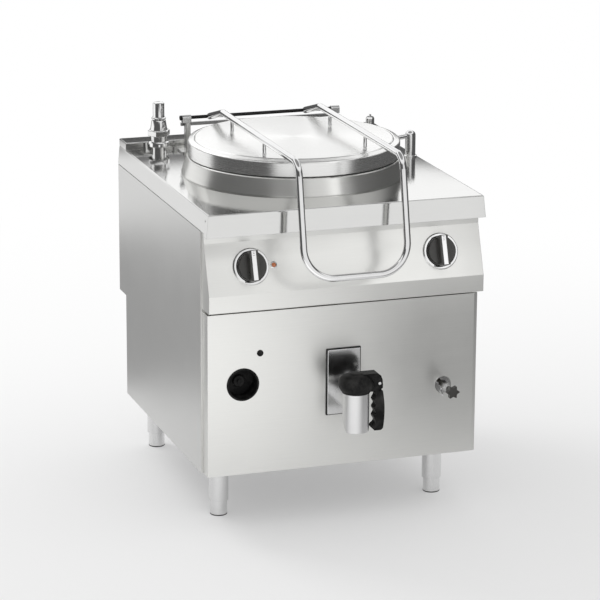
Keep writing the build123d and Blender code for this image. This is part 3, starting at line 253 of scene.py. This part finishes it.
def surfaced(name, group, values, bump, edge_colour=None, edge_radius=0.0012, **constants):
    """A Principled material driven by one of the surface groups, with softened and lightened edges."""
    made = bpy.data.materials.new(name)
    made.use_nodes = True
    tree = made.node_tree
    shader = tree.nodes["Principled BSDF"]
    surface = add_node(tree, "ShaderNodeGroup", node_tree=GROUPS[group])
    for label, value in values.items():
        socket(tree, surface.inputs[label], value)
    edge = add_node(tree, "ShaderNodeGroup", {}, node_tree=GROUPS["edge"])
    edge.inputs["Radius"].default_value = edge_radius
    colour = surface.outputs["Colour"]
    if edge_colour:
        colour = mix_colour(tree, edge.outputs["Mask"], colour, (*edge_colour, 1))
    socket(tree, shader.inputs["Base Color"], colour)
    socket(tree, shader.inputs["Roughness"], surface.outputs["Roughness"])
    relief = add_node(tree, "ShaderNodeBump", {"Height": surface.outputs["Height"], "Strength": bump,
                                              "Distance": 0.0002, "Normal": edge.outputs["Normal"]})
    socket(tree, shader.inputs["Normal"], relief.outputs[0])
    for label, value in constants.items():
        shader.inputs[label.replace("_", " ")].default_value = value
    if constants.get("Anisotropic"):
        around = add_node(tree, "ShaderNodeTangent", direction_type="RADIAL", axis="Z")
        socket(tree, shader.inputs["Tangent"], around.outputs[0])
    return made


def brushed(name, colour, roughness, stretch, contrast=0.1, marks=0.5, bump=0.12, streak=0.5):
    """Brushed stainless steel with its grain along the axis of the smallest stretch."""
    return surfaced(name, "brushed", {"Colour": (*colour, 1), "Roughness": roughness, "Stretch": stretch,
                                      "Contrast": contrast, "Marks": marks}, bump,
                    edge_colour=colour, Metallic=1.0, Anisotropic=streak, Anisotropic_Rotation=0.25)


along_x = (12, 900, 900)
along_y = (900, 12, 900)
along_z = (900, 900, 12)
steel = (0.74, 0.74, 0.73)

MATERIALS = {
    "worktop_steel": brushed("Worktop steel", steel, 0.09, along_x, streak=0.2),
    "front_steel": brushed("Front steel", (0.74, 0.74, 0.72), 0.34, along_x),
    # Side panels' steel is a darker copy of the front steel: painted shade.
    "panel_steel": brushed("Side steel with painted shade", (0.66, 0.66, 0.65), 0.34, along_z),
    "leg_steel": brushed("Leg steel", (0.76, 0.76, 0.76), 0.26, along_z),
    "foot_steel": brushed("Foot steel", (0.78, 0.78, 0.78), 0.26, along_z),
    "frame_steel": brushed("Frame steel", (0.35, 0.35, 0.35), 0.4, along_x),
    "inner_steel": brushed("Inner steel", (0.45, 0.45, 0.44), 0.4, along_z),
    "pillar_steel": brushed("Pillar steel", (0.66, 0.66, 0.65), 0.26, along_z),
    "bearing_steel": brushed("Bearing steel", (0.62, 0.62, 0.62), 0.26, along_z),
    # Shaft steel is near black: a painted dark reflection, far darker than steel's own grey.
    "shaft_steel": brushed("Shaft steel with painted reflection", (0.03, 0.03, 0.03), 0.25, along_x),
    "element_steel": brushed("Element steel", (0.25, 0.24, 0.23), 0.45, along_y),
}
for name, label, colour, roughness in (
        ("pan_steel", "Collar steel", (0.72, 0.72, 0.70), 0.3),
        ("lid_steel", "Lid steel", (0.86, 0.86, 0.85), 0.26),
        ("vessel_steel", "Vessel steel", (0.70, 0.70, 0.69), 0.25)):
    MATERIALS[name] = surfaced(
        label, "spun", {"Colour": (*colour, 1), "Roughness": roughness, "Centre": pan_axis}, 0.1,
        edge_colour=colour, Metallic=1.0, Anisotropic=0.6, Anisotropic_Rotation=0.25)
for name, label, colour, roughness in (
        ("handle_chrome", "Handle chrome", (0.80, 0.80, 0.80), 0.05),
        ("bright_chrome", "Bright chrome", (0.82, 0.82, 0.82), 0.06),
        ("mirror_steel", "Mirror steel", (0.62, 0.62, 0.62), 0.14),
        ("satin_chrome", "Satin chrome", (0.66, 0.66, 0.66), 0.35),
        ("satin_aluminium", "Satin aluminium", (0.84, 0.84, 0.84), 0.3),
        ("fitting_brass", "Fitting brass", (0.66, 0.52, 0.28), 0.25),
        ("pipe_copper", "Pipe copper", (0.70, 0.42, 0.28), 0.25)):
    MATERIALS[name] = surfaced(label, "polish", {"Colour": (*colour, 1), "Roughness": roughness}, 0.03,
                               edge_radius=0.0006, Metallic=1.0)
for name, label, colour, roughness, gloss in (
        ("black_plastic", "Black plastic", (0.006, 0.006, 0.006), 0.45, 0.12),
        # The recess cup is near black all over, darker than the black plastic.
        ("recess_black", "Recess black", (0.004, 0.004, 0.004), 0.6, 0.15),
        ("knob_plastic", "Knob plastic", (0.042, 0.041, 0.038), 0.3, 0.35),
        ("gasket_rubber", "Gasket rubber", (0.012, 0.012, 0.012), 0.6, 0.3),
        ("insulation_felt", "Insulation felt", (0.5, 0.45, 0.33), 0.9, 0.3)):
    MATERIALS[name] = surfaced(label, "moulded", {"Colour": (*colour, 1), "Roughness": roughness}, 0.15,
                               edge_colour=[part * 2.2 for part in colour], edge_radius=0.0006,
                               Specular_IOR_Level=gloss)
MATERIALS["lamp_amber"] = surfaced(
    "Amber lens", "moulded", {"Colour": (0.42, 0.12, 0.04, 1), "Roughness": 0.15, "Dust": 0.0}, 0.05,
    edge_radius=0.0006, Coat_Weight=0.6, Emission_Color=(0.9, 0.35, 0.12, 1), Emission_Strength=0.06)

for part in frame["record"]["subparts"]:
    shown = frame["nodes"][part["node"]]
    shown.data.materials.clear()
    shown.data.materials.append(MATERIALS[part["material_slot"]])


# Finer pieces in mesh code, each on the node that carries it or in the place of one

def turn_body(work, place, profile, steps=64, hollow=False):
    """Turned body round an upright axis through a place; its profile is radius and height pairs."""
    hoops = []
    for radius, height in profile:
        hoops.append([work.verts.new((place[0] + radius * cos(2 * pi * step / steps),
                                      place[1] + radius * sin(2 * pi * step / steps), place[2] + height))
                      for step in range(steps)])
    walls = list(zip(hoops, hoops[1:]))
    if hollow:
        walls.append((hoops[-1], hoops[0]))
    for lower, upper in walls:
        for step in range(steps):
            after = (step + 1) % steps
            work.faces.new((lower[step], lower[after], upper[after], upper[step]))
    if not hollow:
        work.faces.new(hoops[0][::-1])
        work.faces.new(hoops[-1])


def finish_piece(name, work, material_slot, body, *replaced):
    """A piece from its worked mesh, smooth but for its real edges, in a slot's finish, riding on a body."""
    bmesh.ops.recalc_face_normals(work, faces=work.faces)
    mesh = bpy.data.meshes.new(name)
    work.to_mesh(mesh)
    work.free()
    mesh.shade_smooth()
    mesh.set_sharp_from_angle(angle=sharp_edge)
    mesh.materials.append(MATERIALS[material_slot])
    made = bpy.data.objects.new(name, mesh)
    scene.collection.objects.link(made)
    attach(made, body)
    if replaced:
        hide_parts(*replaced)


def slot_of(node):
    """The material slot that a node has in the record."""
    return next(part["material_slot"] for part in frame["record"]["subparts"] if part["node"] == node)


def lid_posts():
    """Four plain posts between the lid and the handle, with a small fillet at each end."""
    low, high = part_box("lid_standoffs")
    reach = high[2] - low[2]
    work = bmesh.new()
    for x in (low[0] + post_foot, high[0] - post_foot):
        for y in (low[1] + post_foot, high[1] - post_foot):
            turn_body(work, (x, y, low[2]), [
                (post_radius + 0.0012, 0), (post_radius + 0.0004, 0.0008), (post_radius, 0.002),
                (post_radius, reach - 0.002), (post_radius + 0.0005, reach)], steps=24)
    finish_piece("lid_posts", work, slot_of("lid_standoffs"), "lid", "lid_standoffs")


def groove_painted_shade():
    """Dark bead in the groove pressed round the top of the lid: painted shade, a dark ring that stands for
    the groove's shadow.
    """
    profile = [(groove_radius + out, up) for out, up in groove_shade_bead_profile]
    work = bmesh.new()
    turn_body(work, (pan_axis.x, pan_axis.y, groove_level), profile, steps=160, hollow=True)
    finish_piece("lid_groove_painted_shade_bead", work, "gasket_rubber", "lid")


def safety_valve():
    """Safety valve's stepped body with its six flats, and the lifting cap with a rolled top edge."""
    low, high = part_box("safety_valve_body")
    place = ((low[0] + high[0]) / 2, (low[1] + high[1]) / 2, worktop_plane)
    shank_end = (valve_body_profile[0][0], low[2] - worktop_plane)
    work = bmesh.new()
    turn_body(work, place, [shank_end, *valve_body_profile])
    turn_body(work, place, valve_flats_profile, steps=6)
    finish_piece("valve_body", work, slot_of("safety_valve_body"), "cabinet", "safety_valve_body")
    work = bmesh.new()
    turn_body(work, place, valve_cap_profile)
    finish_piece("valve_cap", work, slot_of("safety_valve_cap"), "safety_valve_cap", "safety_valve_cap")


def foot_rings():
    """Thin black rubber ring round the bottom edge of each levelling foot."""
    for corner in ("front_left", "front_right", "rear_left", "rear_right"):
        low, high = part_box(f"foot_{corner}")
        edge = (high[0] - low[0]) / 2
        profile = [(edge + out, up) for out, up in foot_ring_profile]
        work = bmesh.new()
        turn_body(work, ((low[0] + high[0]) / 2, (low[1] + high[1]) / 2, low[2]), profile, hollow=True)
        finish_piece(f"foot_ring_{corner}", work, "gasket_rubber", f"foot_{corner}")


def knob_ticks():
    """Dark ticks across the top end of the bright strip of each knob."""
    across, rise, stand = tick_size
    for knob in ("heat_knob", "water_knob"):
        low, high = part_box(f"{knob}_insert")
        top = Vector(((low[0] + high[0]) / 2, high[1] - strip_thickness * strip_lean, high[2]))
        work = bmesh.new()
        for drop in tick_drops:
            for vertex in bmesh.ops.create_cube(work, size=1.0)["verts"]:
                spot = vertex.co.copy()
                vertex.co = (top - knob_upward * drop + Vector((1, 0, 0)) * spot.x * across
                             + knob_upward * spot.z * rise + knob_outward * spot.y * stand)
        finish_piece(f"{knob}_ticks", work, "black_plastic", knob)


sharp_edge = radians(28)
worktop_plane = 0.9

# Lid: groove's radius and the top of the dark bead in it, which is painted shade; posts' foot in the imported
# model, and their own radius
groove_radius = 0.281
groove_level = 0.9972
groove_shade_bead_profile = ((-0.0026, -0.0015), (0.0026, -0.0015), (0.0022, -0.0003), (0.0, 0.0),
                       (-0.0022, -0.0003))
post_foot = 0.009
post_radius = 0.0052

# Safety valve: radius and height over the worktop
valve_body_profile = (
    (0.0205, 0.018), (0.0295, 0.0185), (0.0305, 0.0195), (0.0305, 0.030), (0.0295, 0.032),
    (0.0235, 0.033), (0.0235, 0.0495), (0.0285, 0.050), (0.0285, 0.0665), (0.0250, 0.067),
    (0.0242, 0.071), (0.0205, 0.094), (0.0195, 0.096), (0.0170, 0.097))
valve_flats_profile = ((0.0318, 0.0500), (0.0332, 0.0515), (0.0332, 0.0650), (0.0318, 0.0665))
valve_cap_profile = (
    (0.0060, 0.072), (0.0060, 0.0972), (0.0190, 0.0974), (0.0204, 0.0984), (0.0206, 0.1020),
    (0.0196, 0.1036), (0.0170, 0.1044), (0.0166, 0.1060), (0.0166, 0.1440), (0.0160, 0.1460),
    (0.0146, 0.1474), (0.0120, 0.1480), (0.0110, 0.1472))

# Levelling feet: the ring's section, out from the foot's edge and up from the floor
foot_ring_profile = ((-0.004, 0.0), (-0.0008, 0.0), (0.0004, 0.0012), (0.0004, 0.0030),
                     (-0.0004, 0.0036), (-0.004, 0.0036))

# Knobs: the slanted panel's directions, the strip, and the ticks' drops from its top end and sizes
knob_outward = Vector((0, -0.94299, 0.33282))
knob_upward = Vector((0, 0.33282, 0.94299))
strip_thickness = 0.0016
strip_lean = 0.943
tick_drops = (0.0035, 0.0075, 0.0125)
tick_size = (0.0052, 0.0010, 0.0005)

lid_posts()
groove_painted_shade()
safety_valve()
foot_rings()
knob_ticks()


# Studio: floor, white surroundings, lamps and the camera

def floor_material():
    """Pale floor that fades to white away from the pan, for the eye and for mirrors."""
    made = bpy.data.materials.new("Floor")
    made.use_nodes = True
    tree = made.node_tree
    shader = tree.nodes["Principled BSDF"]
    shader.inputs["Base Color"].default_value = (floor_tone, floor_tone, floor_tone, 1)
    shader.inputs["Roughness"].default_value = 0.9
    shader.inputs["Specular IOR Level"].default_value = 0.0
    place = tree.nodes.new("ShaderNodeNewGeometry").outputs["Position"]
    parts = add_node(tree, "ShaderNodeSeparateXYZ", {0: place}).outputs
    away = maths(tree, "MULTIPLY_ADD", parts[0], fade_slant, parts[1])
    far = add_node(tree, "ShaderNodeMapRange", {"Value": away, "From Min": fade_start, "From Max": fade_end,
                                               "To Min": floor_lift, "To Max": 1.0},
                   interpolation_type="SMOOTHSTEP").outputs[0]
    path = tree.nodes.new("ShaderNodeLightPath").outputs
    seen = maths(tree, "ADD", path["Is Camera Ray"], maths(tree, "ADD", path["Is Glossy Ray"],
                                                          path["Is Transmission Ray"]), clamp=True)
    white = add_node(tree, "ShaderNodeEmission", {"Color": (1, 1, 1, 1), "Strength": 1.0})
    blend = add_node(tree, "ShaderNodeMixShader", {0: maths(tree, "MULTIPLY", far, seen),
                                                  1: shader.outputs[0], 2: white.outputs[0]})
    socket(tree, tree.nodes["Material Output"].inputs["Surface"], blend.outputs[0])
    return made


def stage_plane(name, width, height, place, towards, material):
    """Flat studio plane, its face turned towards a point."""
    mesh = bpy.data.meshes.new(name)
    across, along = width / 2, height / 2
    mesh.from_pydata([(-across, -along, 0), (across, -along, 0), (across, along, 0), (-across, along, 0)],
                     [], [(0, 1, 2, 3)])
    mesh.materials.append(material)
    made = bpy.data.objects.new(name, mesh)
    made.location = place
    aim = Vector(towards) - Vector(place)
    made.rotation_euler = aim.to_track_quat("Z", "Y").to_euler()
    scene.collection.objects.link(made)
    return made


def turn_band(tree, turn, start, end, soft):
    """One between two bearings in degrees round the pan, fading over soft degrees outside them."""
    rise = add_node(tree, "ShaderNodeMapRange", {"Value": turn, "From Min": start - soft, "From Max": start},
                    interpolation_type="SMOOTHSTEP").outputs[0]
    fall = add_node(tree, "ShaderNodeMapRange", {"Value": turn, "From Min": end, "From Max": end + soft,
                                                "To Min": 1.0, "To Max": 0.0},
                    interpolation_type="SMOOTHSTEP").outputs[0]
    return maths(tree, "MULTIPLY", rise, fall)


def hide_from_all_but_metal(made):
    """A stage object that only mirrored rays meet."""
    scene.collection.objects.link(made)
    made.visible_camera = False
    made.visible_diffuse = False
    made.visible_shadow = False
    made.visible_transmission = False


def reflector():
    """Round wall that only mirrored rays meet, with the bright and dark bands of reflector_levels."""
    material = bpy.data.materials.new("Reflector")
    material.use_nodes = True
    tree = material.node_tree
    tree.nodes.remove(tree.nodes["Principled BSDF"])
    place = tree.nodes.new("ShaderNodeTexCoord").outputs["Object"]
    parts = add_node(tree, "ShaderNodeSeparateXYZ", {0: place}).outputs
    turn = maths(tree, "DEGREES", maths(tree, "ARCTAN2", parts[1], parts[0]))
    strength = None
    for height, fade, bands in reflector_levels:
        tone = dark_wall
        for start, end, soft, bright in bands:
            band = maths(tree, "MULTIPLY", turn_band(tree, turn, start, end, soft), bright)
            tone = maths(tree, "MAXIMUM", tone, band)
        if strength is None:
            strength = tone
        else:
            above = add_node(tree, "ShaderNodeMapRange", {"Value": parts[2], "From Min": height - fade,
                                                         "From Max": height + fade},
                             interpolation_type="SMOOTHSTEP").outputs[0]
            below = maths(tree, "SUBTRACT", 1.0, above)
            strength = maths(tree, "ADD", maths(tree, "MULTIPLY", strength, below),
                             maths(tree, "MULTIPLY", tone, above))
    glow = add_node(tree, "ShaderNodeEmission", {"Strength": strength})
    socket(tree, tree.nodes["Material Output"].inputs["Surface"], glow.outputs[0])
    mesh = bpy.data.meshes.new("reflector")
    work = bmesh.new()
    bmesh.ops.create_cone(work, cap_ends=False, segments=96, radius1=reflector_radius,
                          radius2=reflector_radius, depth=reflector_height)
    bmesh.ops.translate(work, verts=work.verts, vec=(0, 0, reflector_height / 2 + floor_clearance))
    work.to_mesh(mesh)
    work.free()
    mesh.materials.append(material)
    hide_from_all_but_metal(bpy.data.objects.new("reflector", mesh))


def ceiling():
    """Round dim ceiling over the reflector, met only by mirrored rays: it darkens rounded edges."""
    material = bpy.data.materials.new("Ceiling")
    material.use_nodes = True
    tree = material.node_tree
    tree.nodes.remove(tree.nodes["Principled BSDF"])
    glow = add_node(tree, "ShaderNodeEmission", {"Strength": ceiling_tone})
    socket(tree, tree.nodes["Material Output"].inputs["Surface"], glow.outputs[0])
    mesh = bpy.data.meshes.new("ceiling")
    work = bmesh.new()
    bmesh.ops.create_circle(work, cap_ends=True, segments=96, radius=reflector_radius)
    bmesh.ops.translate(work, verts=work.verts, vec=(0, 0, reflector_height))
    work.to_mesh(mesh)
    work.free()
    mesh.materials.append(material)
    hide_from_all_but_metal(bpy.data.objects.new("ceiling", mesh))


def surroundings():
    """White for the eye, the metal and the glass, and an even pale light for the rest."""
    world = bpy.data.worlds.new("Studio")
    scene.world = world
    world.use_nodes = True
    tree = world.node_tree
    path = tree.nodes.new("ShaderNodeLightPath").outputs
    seen = maths(tree, "ADD", path["Is Camera Ray"], maths(tree, "ADD", path["Is Glossy Ray"],
                                                          path["Is Transmission Ray"]), clamp=True)
    socket(tree, tree.nodes["Background"].inputs["Color"],
           mix_colour(tree, seen, (ambient, ambient, ambient, 1), (1, 1, 1, 1)))


def lamp(name, place, target, size, power):
    """Soft rectangular lamp aimed at a point."""
    data = bpy.data.lights.new(name, "AREA")
    data.shape = "RECTANGLE"
    data.size, data.size_y = size
    data.energy = power
    made = bpy.data.objects.new(name, data)
    made.location = place
    made.rotation_euler = (Vector(target) - Vector(place)).to_track_quat("-Z", "Y").to_euler()
    made.visible_camera = False
    scene.collection.objects.link(made)


def camera():
    """Camera at the photograph's place, turned by yaw, pitch and roll, with its own focal length."""
    forward = Vector((sin(camera_yaw) * cos(camera_pitch), cos(camera_yaw) * cos(camera_pitch),
                      -sin(camera_pitch)))
    level = Vector((cos(camera_yaw), -sin(camera_yaw), 0))
    upright = level.cross(forward)
    right = level * cos(camera_roll) + upright * sin(camera_roll)
    up = upright * cos(camera_roll) - level * sin(camera_roll)
    data = bpy.data.cameras.new("Camera")
    data.sensor_width = sensor_width
    data.lens = focal_pixels / photo_pixels * sensor_width
    data.clip_end = 100
    made = bpy.data.objects.new("Camera", data)
    made.matrix_world = Matrix((right, up, -forward)).transposed().to_4x4()
    made.location = camera_place
    scene.collection.objects.link(made)
    scene.camera = made


# Floor: its tone, where along the slanted fade it starts and ends to turn white, and how white it starts
floor_tone = 0.78
fade_slant = 0.35
fade_start = -0.6
fade_end = 3.2
floor_lift = 0.3
# Surroundings' grey for plain light, and the reflector's radius, height, gap over the floor and tones
ambient = 0.92
reflector_radius = 1.15
reflector_height = 2.6
floor_clearance = 0.002
dark_wall = 0.10
ceiling_tone = 0.3
# Height where each level starts, its fade, and its bright bands: bearings, softness and strength
reflector_levels = (
    (0.0, 0.0, ((-130, -98, 46, 1.3), (-60, 0, 10, 0.36), (85, 150, 30, 0.42))),
    (0.52, 0.08, ((-124, -58, 12, 0.95), (96, 156, 8, 0.9))),
    (0.80, 0.04, ((-124, -58, 12, 0.95), (124, 160, 6, 1.1))),
    (1.12, 0.03, ((-96, -64, 10, 0.8), (42, 118, 10, 1.15))),
    (1.6, 0.15, ((-360, 360, 1, 1.0),)),
)
stage_plane("studio_floor", 60, 60, (0, 0, cad_bounds[0][2]), (0, 0, 1), floor_material())
surroundings()
reflector()
ceiling()
camera()
# Lamps: the broad one behind at the left aims at the middle of the pan, the small one at its front
middle = (0, 0, 0.6)
front = (0, -0.4, 0.7)
lamp("back_left", (-1.8, 2.4, 3.0), middle, (1.6, 1.6), 40)
lamp("front_right", (2.0, -4.3, 2.7), front, (0.9, 0.9), 5)
scene.view_settings.view_transform = "Standard"
